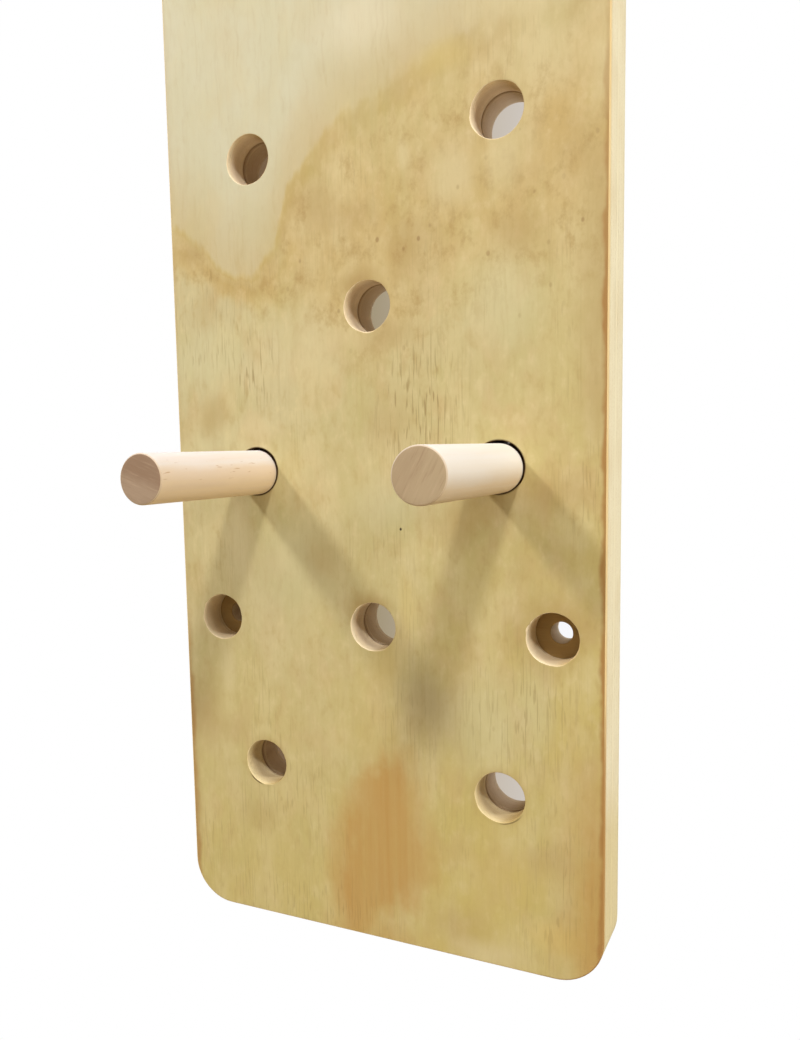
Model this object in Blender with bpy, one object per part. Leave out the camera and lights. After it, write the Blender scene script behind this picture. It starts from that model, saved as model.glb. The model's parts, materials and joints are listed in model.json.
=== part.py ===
"""Climbing pegboard for a gym: a drilled plywood board that bolts to a wall, with two hand pegs in it.

Units are metres and +Z is up. The wall face is the plane Y = 0, with the origin at its centre, and the
climber hangs on the -Y side. The board is two sheets of plywood glued face to face. Each sheet has a
face veneer, a core of inner plies and an inner veneer, so the board is a stack of six layers. All the
holes are drilled through the finished stack, and the pegs lie loose in two of them.
"""

import math

import bmesh
import bpy

# Board
BOARD_WIDTH = 0.300
BOARD_HEIGHT = 1.466
CORNER_RADIUS = 0.030
SHEET_THICKNESS = 0.021      # one of the two sheets
VENEER_THICKNESS = 0.003     # the ply on each side of a sheet
GLUE_LINE = 0.0003           # between any two layers

# Rows of peg holes, counted from the bottom and evenly spread: two holes and one hole in turn
ROW_COUNT = 13
END_MARGIN = 0.112           # from each end of the board to its nearest row
COLUMN_INSET = 0.0645        # from the board's side to the column of peg holes beside it

# Wall bolts, in the second row from each end
BOLT_INSET = 0.0315          # from the board's side to the bolt
BOLT_HOLE_DIAMETER = 0.014
COUNTERBORE_DIAMETER = 0.0322
COUNTERBORE_BITE = 0.001     # how far the counterbore goes into the back sheet

# Pegs
PEG_DIAMETER = 0.0302
PEG_GRIP = 0.128             # length that stands out of the board
PEG_EDGE_RADIUS = 0.0012     # eased rim of both ends
PEG_CLEARANCE = 0.0020       # hole diameter less peg diameter
PEG_REST_GAP = 0.0003        # under the peg, which lies on the floor of its hole
PEG_WALL_GAP = 0.0013        # from the peg's inner end to the wall
PEG_ROW = 3

# Facets
ROUND_SEGMENTS = 20
CORNER_SEGMENTS = 5
EDGE_SEGMENTS = 2
SMOOTH_ANGLE = math.radians(40)
END_FACE_COSINE = 0.5        # a face of a drill that looks more along its axis than this is an end

# Worked out from the sizes above
ROW_PITCH = (BOARD_HEIGHT - 2 * END_MARGIN) / (ROW_COUNT - 1)
BOARD_DEPTH = 2 * SHEET_THICKNESS + GLUE_LINE
CORE_THICKNESS = SHEET_THICKNESS - 2 * VENEER_THICKNESS - 2 * GLUE_LINE
FRONT_Y = -BOARD_DEPTH
COUNTERBORE_FLOOR_Y = FRONT_Y + SHEET_THICKNESS + GLUE_LINE + COUNTERBORE_BITE
HOLE_DIAMETER = PEG_DIAMETER + PEG_CLEARANCE
COLUMN_X = BOARD_WIDTH / 2 - COLUMN_INSET
BOLT_X = BOARD_WIDTH / 2 - BOLT_INSET
BOLT_ROWS = (2, ROW_COUNT - 1)
DRILL_OVERRUN = SHEET_THICKNESS   # how far a drill stands out of the face it starts or leaves from

# Colours, linear
FACE_PINE = (0.610, 0.475, 0.205, 1.0)
CORE_PINE = (0.560, 0.420, 0.210, 1.0)
INNER_PINE = (0.440, 0.310, 0.145, 1.0)
PEG_BEECH = (0.840, 0.700, 0.520, 1.0)


def clear_scene():
    for item in list(bpy.data.objects):
        bpy.data.objects.remove(item, do_unlink=True)


def wood(name, colour, roughness):
    """A Principled BSDF for bare, sanded wood."""
    material = bpy.data.materials.new(name)
    material.use_nodes = True
    shader = material.node_tree.nodes["Principled BSDF"]
    shader.inputs["Base Color"].default_value = colour
    shader.inputs["Roughness"].default_value = roughness
    shader.inputs["Metallic"].default_value = 0.0
    material.diffuse_color = colour
    return material


def add_object(name, mesh, parent):
    piece = bpy.data.objects.new(name, mesh)
    bpy.context.collection.objects.link(piece)
    piece.parent = parent
    return piece


def add_empty(name, location):
    empty = bpy.data.objects.new(name, None)
    empty.location = location
    bpy.context.collection.objects.link(empty)
    return empty


def mesh_from(bm, name):
    mesh = bpy.data.meshes.new(name)
    bmesh.ops.recalc_face_normals(bm, faces=bm.faces)
    bm.to_mesh(mesh)
    bm.free()
    return mesh


def row_z(row):
    """Height of a row of holes over the board's centre. Row 1 is the lowest."""
    return -BOARD_HEIGHT / 2 + END_MARGIN + (row - 1) * ROW_PITCH


def peg_holes():
    """Centres of the peg holes: two in the odd rows and one between them in the even rows."""
    centres = []
    for row in range(1, ROW_COUNT + 1):
        columns = (-COLUMN_X, COLUMN_X) if row % 2 else (0.0,)
        centres += [(x, row_z(row)) for x in columns]
    return centres


def bolt_holes():
    """Centres of the wall bolts."""
    return [(side * BOLT_X, row_z(row)) for row in BOLT_ROWS for side in (-1, 1)]


def board_outline():
    """Corners of the board's front view, anticlockwise, with an arc round each corner."""
    points = []
    quarter = math.pi / 2
    for turn, (side, end) in enumerate(((1, 1), (-1, 1), (-1, -1), (1, -1))):
        centre_x = side * (BOARD_WIDTH / 2 - CORNER_RADIUS)
        centre_z = end * (BOARD_HEIGHT / 2 - CORNER_RADIUS)
        for step in range(CORNER_SEGMENTS + 1):
            angle = quarter * (turn + step / CORNER_SEGMENTS)
            points.append((centre_x + CORNER_RADIUS * math.cos(angle),
                           centre_z + CORNER_RADIUS * math.sin(angle)))
    return points


def layer_mesh(name, thickness):
    """An undrilled layer, with its front face at Y = 0 and its back at Y = thickness."""
    bm = bmesh.new()
    front = bm.faces.new([bm.verts.new((x, 0.0, z)) for x, z in board_outline()])
    grown = bmesh.ops.extrude_face_region(bm, geom=[front])["geom"]
    moved = [item for item in grown if isinstance(item, bmesh.types.BMVert)]
    bmesh.ops.translate(bm, verts=moved, vec=(0.0, thickness, 0.0))
    for face in bm.faces:
        face.smooth = len(face.verts) == 4
    return mesh_from(bm, name)


def spin_profile(bm, profile, x=0.0, z=0.0):
    """Add a solid turned about a line along Y through (x, z), from its half section as (radius, y)."""
    points = [bm.verts.new((x, y, z + radius)) for radius, y in profile]
    edges = [bm.edges.new(pair) for pair in zip(points, points[1:])]
    bmesh.ops.spin(bm, geom=points + edges, cent=(x, 0.0, z), axis=(0.0, 1.0, 0.0),
                   angle=2 * math.pi, steps=ROUND_SEGMENTS, use_merge=True)
    bmesh.ops.remove_doubles(bm, verts=bm.verts, dist=PEG_EDGE_RADIUS / 100)


def add_drill():
    """The cutter for every hole: a plain drill for the peg holes and a stepped one for the wall bolts."""
    start = FRONT_Y - DRILL_OVERRUN
    end = DRILL_OVERRUN
    wide = HOLE_DIAMETER / 2
    sunk = COUNTERBORE_DIAMETER / 2
    narrow = BOLT_HOLE_DIAMETER / 2
    plain = [(0.0, start), (wide, start), (wide, end), (0.0, end)]
    stepped = [(0.0, start), (sunk, start), (sunk, COUNTERBORE_FLOOR_Y),
               (narrow, COUNTERBORE_FLOOR_Y), (narrow, end), (0.0, end)]
    bm = bmesh.new()
    for x, z in peg_holes():
        spin_profile(bm, plain, x, z)
    for x, z in bolt_holes():
        spin_profile(bm, stepped, x, z)
    for face in bm.faces:
        face.smooth = abs(face.normal.y) < END_FACE_COSINE
    drill = add_object("drill", mesh_from(bm, "drill"), None)
    drill.hide_render = True
    drill.display_type = "WIRE"
    return drill


def add_layer(name, front_y, thickness, material, board, drill):
    layer = add_object(name, layer_mesh(name, thickness), board)
    layer.location.y = front_y
    layer.data.materials.append(material)
    cut = layer.modifiers.new("drilled", "BOOLEAN")
    cut.operation = "DIFFERENCE"
    cut.solver = "EXACT"
    cut.object = drill
    return layer


def add_board():
    """The six layers from the front to the wall, a glue line apart."""
    board = add_empty("board_wall_face", (0.0, 0.0, 0.0))
    drill = add_drill()
    layers = (
        ("front_face_veneer", VENEER_THICKNESS, FACE_PINE),
        ("front_core", CORE_THICKNESS, CORE_PINE),
        ("front_inner_veneer", VENEER_THICKNESS, INNER_PINE),
        ("back_inner_veneer", VENEER_THICKNESS, INNER_PINE),
        ("back_core", CORE_THICKNESS, CORE_PINE),
        ("back_face_veneer", VENEER_THICKNESS, FACE_PINE),
    )
    front_y = FRONT_Y
    for name, thickness, colour in layers:
        add_layer(name, front_y, thickness, wood(name, colour, 0.6), board, drill)
        front_y += thickness + GLUE_LINE


def eased_rim(radius, end_y, inwards):
    """Profile points of a rounded rim, from the peg's side to its flat end, as (radius, y)."""
    points = []
    for step in range(EDGE_SEGMENTS + 1):
        angle = math.pi / 2 * step / EDGE_SEGMENTS
        points.append((radius - PEG_EDGE_RADIUS * (1 - math.cos(angle)),
                       end_y + inwards * PEG_EDGE_RADIUS * (1 - math.sin(angle))))
    return points


def peg_profile():
    """Half section of a peg along its axis, from its free end to its inner end, as (radius, y).

    The board's front face is at y = 0.
    """
    free_end = -PEG_GRIP
    inner_end = BOARD_DEPTH - PEG_WALL_GAP
    radius = PEG_DIAMETER / 2
    free_rim = eased_rim(radius, free_end, 1)[::-1]
    inner_rim = eased_rim(radius, inner_end, -1)
    return [(0.0, free_end)] + free_rim + inner_rim + [(0.0, inner_end)]


def peg_mesh(name):
    """The peg's half section, spun round its axis."""
    bm = bmesh.new()
    spin_profile(bm, peg_profile())
    mesh = mesh_from(bm, name)
    mesh.shade_smooth()
    mesh.set_sharp_from_angle(angle=SMOOTH_ANGLE)
    return mesh


def add_pegs():
    """Two loose pegs, each under an empty on the line along which it pulls out of the board."""
    drop = PEG_CLEARANCE / 2 - PEG_REST_GAP
    for side, x in (("left", -COLUMN_X), ("right", COLUMN_X)):
        name = side + "_peg"
        axis = add_empty(name + "_axis", (x, FRONT_Y, row_z(PEG_ROW) - drop))
        peg = add_object(name, peg_mesh(name), axis)
        peg.data.materials.append(wood(name, PEG_BEECH, 0.45))


clear_scene()
add_board()
add_pegs()
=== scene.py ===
# %% [markdown]
# # A climbing pegboard, dressed for its photograph
#
# The real object hangs on a gym wall: two sheets of pine plywood glued face to face, drilled with
# staggered rows of holes, and two loose wooden pegs that a climber moves from hole to hole. The CAD
# part already fixes every size and every joint. This script gives it finer shapes and real-looking
# wood. All lengths are metres in the CAD's own frame: the wall is the plane Y = 0, the climber hangs
# on the -Y side, and +Z is up.

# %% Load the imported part
import json
import math
import random
from types import SimpleNamespace

import bmesh
import bpy
from mathutils import Matrix, Vector
from mathutils.geometry import delaunay_2d_cdt


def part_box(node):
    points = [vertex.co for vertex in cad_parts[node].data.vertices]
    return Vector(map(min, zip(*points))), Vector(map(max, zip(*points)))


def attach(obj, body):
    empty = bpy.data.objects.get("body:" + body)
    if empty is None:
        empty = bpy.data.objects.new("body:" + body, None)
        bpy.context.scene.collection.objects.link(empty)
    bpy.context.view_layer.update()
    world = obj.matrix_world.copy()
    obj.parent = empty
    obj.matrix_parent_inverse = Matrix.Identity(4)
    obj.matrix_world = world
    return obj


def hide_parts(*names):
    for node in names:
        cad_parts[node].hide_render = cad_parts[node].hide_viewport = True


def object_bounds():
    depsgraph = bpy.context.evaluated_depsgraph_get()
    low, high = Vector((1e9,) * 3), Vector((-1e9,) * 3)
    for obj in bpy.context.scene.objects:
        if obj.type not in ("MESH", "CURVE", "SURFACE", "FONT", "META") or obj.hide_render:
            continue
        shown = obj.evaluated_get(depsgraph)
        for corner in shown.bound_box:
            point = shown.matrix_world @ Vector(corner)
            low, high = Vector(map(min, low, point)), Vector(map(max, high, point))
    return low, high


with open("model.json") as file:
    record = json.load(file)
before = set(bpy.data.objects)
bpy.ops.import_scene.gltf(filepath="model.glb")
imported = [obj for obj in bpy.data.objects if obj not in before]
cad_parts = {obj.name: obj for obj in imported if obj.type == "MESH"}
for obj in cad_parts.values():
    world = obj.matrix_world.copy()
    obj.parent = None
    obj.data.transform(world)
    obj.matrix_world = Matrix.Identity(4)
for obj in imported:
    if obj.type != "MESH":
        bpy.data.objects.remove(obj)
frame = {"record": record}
cad_low, cad_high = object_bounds()
print("CAD box in mm:", [round(1000 * side, 1) for side in cad_high - cad_low])

# %% [markdown]
# ## The camera
#
# A camera can be placed by eye, or worked out from things whose sizes are known. Here the round holes,
# the straight edges and the pegs were measured in the picture and a camera was fitted to them, so the
# numbers below are that fit. The lens does not point at the middle of the picture, because the picture
# was cropped, and Blender's lens shift takes that up.

# %% Camera at the photograph's place
PHOTO_WIDTH, PHOTO_HEIGHT = 800, 1040
EYE = Vector((0.2619, -0.6069, -0.4023))
TURN, TILT, ROLL = (math.radians(angle) for angle in (28.684, 6.365, -1.545))
FOCAL_PIXELS = 955.0
LENS_PIXEL = (308.5, 559.5)      # the pixel that the lens points at
SENSOR_MM = 36.0

ahead = Vector((-math.sin(TURN) * math.cos(TILT), math.cos(TURN) * math.cos(TILT), -math.sin(TILT)))
level = Vector((math.cos(TURN), math.sin(TURN), 0.0))
above = level.cross(ahead)
rightward = math.cos(ROLL) * level + math.sin(ROLL) * above
upward = math.cos(ROLL) * above - math.sin(ROLL) * level

lens = bpy.data.cameras.new("photo_camera")
lens.sensor_width = SENSOR_MM
lens.lens = FOCAL_PIXELS / PHOTO_HEIGHT * SENSOR_MM
lens.shift_x = (PHOTO_WIDTH / 2 - LENS_PIXEL[0]) / PHOTO_HEIGHT
lens.shift_y = (LENS_PIXEL[1] - PHOTO_HEIGHT / 2) / PHOTO_HEIGHT
camera = bpy.data.objects.new("photo_camera", lens)
facing = Matrix((rightward, upward, -ahead)).transposed().to_4x4()
camera.matrix_world = Matrix.Translation(EYE) @ facing
bpy.context.scene.collection.objects.link(camera)
bpy.context.scene.camera = camera
bpy.context.scene.view_settings.view_transform = "Standard"
print(f"lens {lens.lens:.2f} mm, shift {lens.shift_x:.4f}, {lens.shift_y:.4f}")

# %% [markdown]
# ## Small helpers for shader nodes
#
# Every finish below is a node tree. Written out in full, each node takes four or five lines, so these
# helpers add one node and set or link its sockets in a single call. A socket that is passed in is
# linked, and a plain number or colour is set on the socket itself.

# %% Add a node and link it
def feed(tree, socket, value):
    if isinstance(value, bpy.types.NodeSocket):
        tree.links.new(value, socket)
    else:
        socket.default_value = value


def put(tree, kind, sockets=(), **settings):
    """Add one shader node, with its properties as keywords and its input sockets by name."""
    node = tree.nodes.new("ShaderNode" + kind)
    for name, value in settings.items():
        setattr(node, name, value)
    for name, value in dict(sockets).items():
        feed(tree, node.inputs[name], value)
    return node


def calc(tree, operation, *values, clamp=False):
    """One Math node. Gives its output socket."""
    node = put(tree, "Math", operation=operation, use_clamp=clamp)
    for socket, value in zip(node.inputs, values):
        feed(tree, socket, value)
    return node.outputs[0]


def times(tree, first, second):
    return calc(tree, "MULTIPLY", first, second)


def axes(tree, place):
    """The x, y and z of a place, or of a direction."""
    return put(tree, "SeparateXYZ", {0: place}).outputs


def own_place(tree):
    """The place in the frame of the object that wears the material."""
    return put(tree, "TexCoord").outputs["Object"]


print("helpers to add nodes:", ", ".join(helper.__name__ for helper in (feed, put, calc, times, axes, own_place)))

# %% Steps, colours and noise
def fade(tree, value, start, end, low=0.0, high=1.0, slope="SMOOTHSTEP"):
    """A smooth step: low where value is at start, high where it is at end."""
    node = put(tree, "MapRange", {"Value": value, "From Min": start, "From Max": end,
                                  "To Min": low, "To Max": high}, interpolation_type=slope)
    return node.outputs["Result"]


def fade_linear(tree, value, start, end, low, high):
    """A straight slope from low to high, which stops at both."""
    return fade(tree, value, start, end, low, high, "LINEAR")


def ramp(tree, value, start, end, stops):
    """Colours along a value. Stops are (value, colour)."""
    node = put(tree, "ValToRGB", {"Fac": fade_linear(tree, value, start, end, 0.0, 1.0)})
    elements = node.color_ramp.elements
    for element, (at, colour) in zip(elements, (stops[0], stops[-1])):
        element.position, element.color = (at - start) / (end - start), colour
    for at, colour in stops[1:-1]:
        elements.new((at - start) / (end - start)).color = colour
    return node.outputs["Color"]


def blend(tree, amount, first, second, mode="MIX"):
    """Mix two colours by amount."""
    node = put(tree, "Mix", data_type="RGBA", blend_type=mode)
    feed(tree, node.inputs[0], amount)
    feed(tree, node.inputs[6], first)
    feed(tree, node.inputs[7], second)
    return node.outputs[2]


def stretch(tree, place, scale, offset=(0.0, 0.0, 0.0)):
    """Scale the place that a texture is read at, so that its grains become longer or shorter."""
    node = put(tree, "Mapping", {"Vector": place, "Location": offset, "Scale": scale})
    return node.outputs["Vector"]


def mottle(tree, place, scale, detail=2.0, roughness=0.5):
    """Soft noise from 0 to 1, with about that many blotches to a metre."""
    node = put(tree, "TexNoise", {"Vector": place, "Scale": scale, "Detail": detail,
                                  "Roughness": roughness})
    return node.outputs["Fac"]


def rgb(red, green, blue):
    """A screen colour, 0 to 255, as the linear colour that a socket takes."""
    def linear(value):
        share = value / 255
        return share / 12.92 if share <= 0.04045 else ((share + 0.055) / 1.055) ** 2.4
    return (linear(red), linear(green), linear(blue), 1.0)


def new_material(name):
    """A material with its tree and its Principled shader."""
    material = bpy.data.materials.new(name)
    material.use_nodes = True
    return material, material.node_tree, material.node_tree.nodes["Principled BSDF"]


def dress(tree, shader, tone, roughness, sheen, raised, strength, relief):
    """Colour, roughness and sheen of a wood, and a bump of that relief in metres where raised is high."""
    bump = put(tree, "Bump", {"Height": raised, "Strength": strength, "Distance": relief})
    for name, value in (("Base Color", tone), ("Roughness", roughness), ("Specular IOR Level", sheen),
                        ("Normal", bump.outputs["Normal"])):
        feed(tree, shader.inputs[name], value)


print("mid grey as a linear colour:", [round(part, 3) for part in rgb(128, 128, 128)])

# %% [markdown]
# ## The room
#
# The photograph has a white ground, and a grey wall shows through the holes. White can come from a
# very bright lamp, which would also bleach the wood, so the world and the wall are white only to rays
# that come straight from the camera or off a glossy surface. All other rays meet a room with a bright
# ceiling that fades down its walls.

# %% The world
WHITE = (1.0, 1.0, 1.0, 1.0)
CEILING_LIGHT = 0.77
# Shares of the ceiling's light, from straight below (-1) to straight above (1)
ROOM_STOPS = ((-1.0, (0.05, 0.046, 0.039, 1.0)), (0.0, (0.08, 0.073, 0.062, 1.0)),
              (0.35, (0.14, 0.128, 0.108, 1.0)), (0.70, (0.45, 0.41, 0.35, 1.0)), (1.0, (1.0, 0.92, 0.80, 1.0)))


def seen_directly(tree):
    """1 for rays from the camera, and for rays that a glossy or clear surface sends on."""
    path = put(tree, "LightPath").outputs
    bounced = calc(tree, "MAXIMUM", path["Is Glossy Ray"], path["Is Transmission Ray"])
    return calc(tree, "MAXIMUM", path["Is Camera Ray"], bounced)


world = bpy.data.worlds.new("white_room")
world.use_nodes = True
bpy.context.scene.world = world
tree = world.node_tree
room = tree.nodes["Background"]
height = axes(tree, put(tree, "TexCoord").outputs["Generated"])[2]
feed(tree, room.inputs["Color"], ramp(tree, height, -1.0, 1.0, ROOM_STOPS))
room.inputs["Strength"].default_value = CEILING_LIGHT
ground = put(tree, "Background", {"Color": WHITE, "Strength": 1.0})
either = put(tree, "MixShader", {0: seen_directly(tree)})
feed(tree, either.inputs[1], room.outputs[0])
feed(tree, either.inputs[2], ground.outputs[0])
feed(tree, tree.nodes["World Output"].inputs["Surface"], either.outputs[0])
print(f"{world.name}: white to the camera, a ceiling of {CEILING_LIGHT} to the wood")

# %% [markdown]
# ## Floor and wall
#
# The floor is a plain pale sheet that takes shadows. The wall is a sheet that is seen from the front
# alone, so the back of the board can still be looked at. Behind the board the wall's shade is painted:
# that part glows in painted shade, less and less lit towards the left. It is a sheet of its own, because
# it also sends a little light into the holes from behind.

# %% The floor
ROOM_SIZE = 8.0
FLOOR_DROP = 0.30                       # from the board's lower end to the floor
FLOOR_PALE, FLOOR_PALER = rgb(236, 234, 230), rgb(242, 240, 236)
FLOOR_BOUNCE = rgb(158, 144, 118)       # what the floor gives back to the underside of the pegs


def sheet_object(name, corners, material):
    mesh = bpy.data.meshes.new(name)
    mesh.from_pydata(corners, [], [range(len(corners))])
    mesh.materials.append(material)
    thing = bpy.data.objects.new(name, mesh)
    bpy.context.scene.collection.objects.link(thing)
    return thing


half = ROOM_SIZE / 2
floor_z = cad_low.z - FLOOR_DROP
floor_paint, tree, shader = new_material("pale_floor")
floor_place = own_place(tree)
floor_tone = blend(tree, mottle(tree, floor_place, 2.0), FLOOR_PALE, FLOOR_PALER)
floor_tone = blend(tree, seen_directly(tree), FLOOR_BOUNCE, floor_tone)
feed(tree, shader.inputs["Base Color"], floor_tone)
shader.inputs["Roughness"].default_value = 0.9
sheet_object("floor", [(-half, -half, floor_z), (half, -half, floor_z), (half, half, floor_z),
                       (-half, half, floor_z)], floor_paint)
print(f"floor at z = {floor_z:.3f}")

# %% The wall
WALL_GAP = 0.010                        # from the back of the board
SHADE_INSET = 0.012                     # from the board's outline to the shaded part of the wall
SHADE_LIFT = 0.0005                     # of the shaded part off the wall
# Colours of the painted shade behind the board, along x
WALL_SHADE = ((-0.120, rgb(116, 92, 68)), (-0.085, rgb(124, 101, 76)), (-0.020, rgb(164, 150, 123)),
              (0.069, rgb(200, 190, 177)), (0.090, rgb(206, 198, 190)), (0.103, rgb(248, 248, 250)))


def glowing_paint(name, colour_of):
    """A paint that gives its colour by itself, and is clear from behind."""
    material, tree, shader = new_material(name)
    tree.nodes.remove(shader)
    glow = put(tree, "Emission", {"Color": colour_of(tree), "Strength": 1.0})
    one_sided = put(tree, "MixShader", {0: put(tree, "NewGeometry").outputs["Backfacing"]})
    feed(tree, one_sided.inputs[1], glow.outputs[0])
    feed(tree, one_sided.inputs[2], put(tree, "BsdfTransparent").outputs[0])
    feed(tree, tree.nodes["Material Output"].inputs["Surface"], one_sided.outputs[0])
    return material


def shade_behind(tree):
    across = axes(tree, own_place(tree))[0]
    return ramp(tree, across, cad_low.x, cad_high.x, WALL_SHADE)


def wall_sheet(name, y, low_x, high_x, low_z, high_z, material):
    corners = [(low_x, y, low_z), (high_x, y, low_z), (high_x, y, high_z), (low_x, y, high_z)]
    sheet = sheet_object(name, corners, material)
    sheet.visible_shadow = False
    return sheet


wall = wall_sheet("wall", WALL_GAP, -half, half, floor_z, half, glowing_paint("white_wall", lambda tree: WHITE))
wall.visible_diffuse = False
# painted shade: a glowing sheet in the colours of the shade behind the board
wall_sheet("wall_behind_board", WALL_GAP - SHADE_LIFT, cad_low.x + SHADE_INSET, cad_high.x - SHADE_INSET,
           cad_low.z + SHADE_INSET, cad_high.z - SHADE_INSET, glowing_paint("shaded_wall", shade_behind))
print(f"wall {1000 * WALL_GAP:.0f} mm behind the board")

# %% [markdown]
# ## The lamps
#
# Each peg throws two soft shadows down the board, one to the left and one to the right, so two lamps
# hang above the climber. How far a shadow moves for the length of the peg gives each lamp's direction,
# and how dark it is gives the lamp's share of the light. What the shadows leave comes from the room and
# from three windows: beside the board, in front of it to the right, and behind the camera. A lamp's power
# follows from its share: a flat lamp of P watts at distance d lights a white surface to
# P * cos(angle) / (pi * pi * d * d).

# %% Lamps
LIT_POINT = Vector((0.0, cad_low.y / 4, -0.40))
BOARD_FACING = Vector((0.0, -1.0, 0.0))
SIDE_FACING = Vector((1.0, 0.0, 0.0))
CLEAR_LIGHT, MILD_LIGHT, WARM_LIGHT = (1.0, 1.0, 1.0), (1.0, 0.97, 0.92), (1.0, 0.95, 0.86)


def add_lamp(name, towards, distance, size, share, facing, colour=CLEAR_LIGHT):
    """A square soft lamp that gives the named share of full light to a surface with that facing."""
    towards = Vector(towards).normalized()
    lamp = bpy.data.lights.new(name, "AREA")
    lamp.size = size
    lamp.energy = share * math.pi ** 2 * distance ** 2 / towards.dot(facing)
    lamp.color = colour
    holder = bpy.data.objects.new(name, lamp)
    holder.location = LIT_POINT + distance * towards
    holder.rotation_euler = towards.to_track_quat("Z", "Y").to_euler()
    bpy.context.scene.collection.objects.link(holder)
    print(f"{name}: {lamp.energy:.1f} W at {distance} m")


add_lamp("lamp_above_right", (0.058, -0.128, 0.167), distance=4.0, size=0.46, share=0.258, facing=BOARD_FACING)
add_lamp("lamp_above_left", (-0.128, -0.128, 0.150), distance=4.0, size=0.46, share=0.262, facing=BOARD_FACING)
add_lamp("window_right", (0.97, -0.03, 0.20), distance=3.0, size=0.5, share=0.23, facing=SIDE_FACING)
add_lamp("window_front_right", (0.89, -0.25, 0.40), distance=3.0, size=0.7, share=0.28, facing=SIDE_FACING,
         colour=MILD_LIGHT)
add_lamp("window_behind", (0.10, -0.85, 0.40), distance=4.0, size=2.0, share=0.080, facing=BOARD_FACING,
         colour=WARM_LIGHT)

# %% [markdown]
# ## Where the holes are
#
# The record that comes with the CAD part lists the openings: a box in each empty peg hole, counterbore
# and bolt hole. Their middles are the centres of the drills, so the holes need not be typed again. The
# two holes that hold the pegs are not open, but they stand in the row of the pegs, under the same
# columns. Those come from the pegs' own boxes.

# %% Centres of the holes
HOLE_RADIUS = 0.0161
BOLT_RADIUS = 0.0070


def middle(box):
    low, high = box
    return ((low[0] + high[0]) / 2, (low[2] + high[2]) / 2)


openings = frame["record"]["physics"]["openings"]
peg_holes = [middle(item["box_m"]) for item in openings if item["name"].startswith("peg_hole")]
bolt_holes = [middle(item["box_m"]) for item in openings if item["name"].startswith("bolt_hole")]
rows = sorted({round(z, 4) for _, z in peg_holes})
row_pitch = min(high - low for low, high in zip(rows, rows[1:]))
peg_row = next(low + row_pitch for low, high in zip(rows, rows[1:]) if high - low > 1.5 * row_pitch)
held_holes = [(middle(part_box(name))[0], peg_row) for name in ("left_peg", "right_peg")]
peg_holes += held_holes
print(f"{len(peg_holes)} peg holes, {len(bolt_holes)} bolt holes, rows {1000 * row_pitch:.1f} mm apart")

# %% [markdown]
# ## The plies
#
# Each 21 mm sheet is seven plies of pine, with the grain of every other ply running across the board.
# A box with Boolean holes would do for one ply, but fourteen of them with round, slightly chipped rims
# are easier to make as what they are: flat shapes with an outline and holes. Every outline or hole is
# a set of rings that runs from the ply's front to its back. Strips of faces join the rings, and
# Blender's Delaunay routine fills the flat between the first rings and between the last ones.

# %% Rings round the board and round a hole
CORNER_RADIUS = 0.030
CORNER_STEPS = 14
LONG_STEPS, SHORT_STEPS = 60, 12
HOLE_STEPS = 72


def outline_ring(inset, y):
    """Points round the board's outline, pulled in by inset."""
    half_width, half_height = cad_high.x - CORNER_RADIUS, cad_high.z - CORNER_RADIUS
    radius = CORNER_RADIUS - inset
    corners = []
    for turn, (side, end) in enumerate(((1, 1), (-1, 1), (-1, -1), (1, -1))):
        angles = [math.pi / 2 * (turn + step / CORNER_STEPS) for step in range(CORNER_STEPS + 1)]
        corners.append([Vector((side * half_width + radius * math.cos(angle), y,
                                end * half_height + radius * math.sin(angle))) for angle in angles])
    points = []
    for corner, following, steps in zip(corners, corners[1:] + corners[:1],
                                        (SHORT_STEPS, LONG_STEPS) * 2):
        points += corner
        points += [corner[-1].lerp(following[0], step / steps) for step in range(1, steps)]
    return points


def hole_ring(centre, radii, y):
    """Points round a hole. Give one radius, or one for each step."""
    if not hasattr(radii, "__len__"):
        radii = [radii] * HOLE_STEPS
    turns = [2 * math.pi * step / HOLE_STEPS for step in range(HOLE_STEPS)]
    return [Vector((centre[0] + radius * math.cos(turn), y, centre[1] + radius * math.sin(turn)))
            for turn, radius in zip(turns, radii)]


print(f"{len(outline_ring(0, 0))} points round the board, {HOLE_STEPS} round a hole")

# %% Join the rings into a closed ply
SAWN, DRILLED, FACE = 0, 1, 2           # a ply's material slots; an inner ply has its bolt holes in the third
SHARP_ANGLE = math.radians(50)
MERGE_WITHIN = 1e-7


def fill_flat(bm, loops, slot):
    """Fill the flat between an outline and its holes with triangles. The outline is the first loop."""
    points = [vert for loop in loops for vert in loop]
    borders, first = [], 0
    for loop in loops:
        border = list(range(first, first + len(loop)))
        borders.append(border[::-1] if borders else border)
        first += len(loop)
    flat = [Vector((vert.co.x, vert.co.z)) for vert in points]
    inside_without_holes = 2
    found = delaunay_2d_cdt(flat, [], borders, inside_without_holes, MERGE_WITHIN)
    triangles, origins = found[2], found[3]
    for triangle in triangles:
        face = bm.faces.new([points[origins[i][0]] for i in triangle])
        face.material_index = slot


def closed_object(name, bm):
    """An object of the closed mesh, with its faces turned outwards and shaded smooth."""
    bmesh.ops.recalc_face_normals(bm, faces=bm.faces)
    mesh = bpy.data.meshes.new(name)
    bm.to_mesh(mesh)
    bm.free()
    mesh.shade_smooth()
    thing = bpy.data.objects.new(name, mesh)
    bpy.context.scene.collection.objects.link(thing)
    return thing


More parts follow.
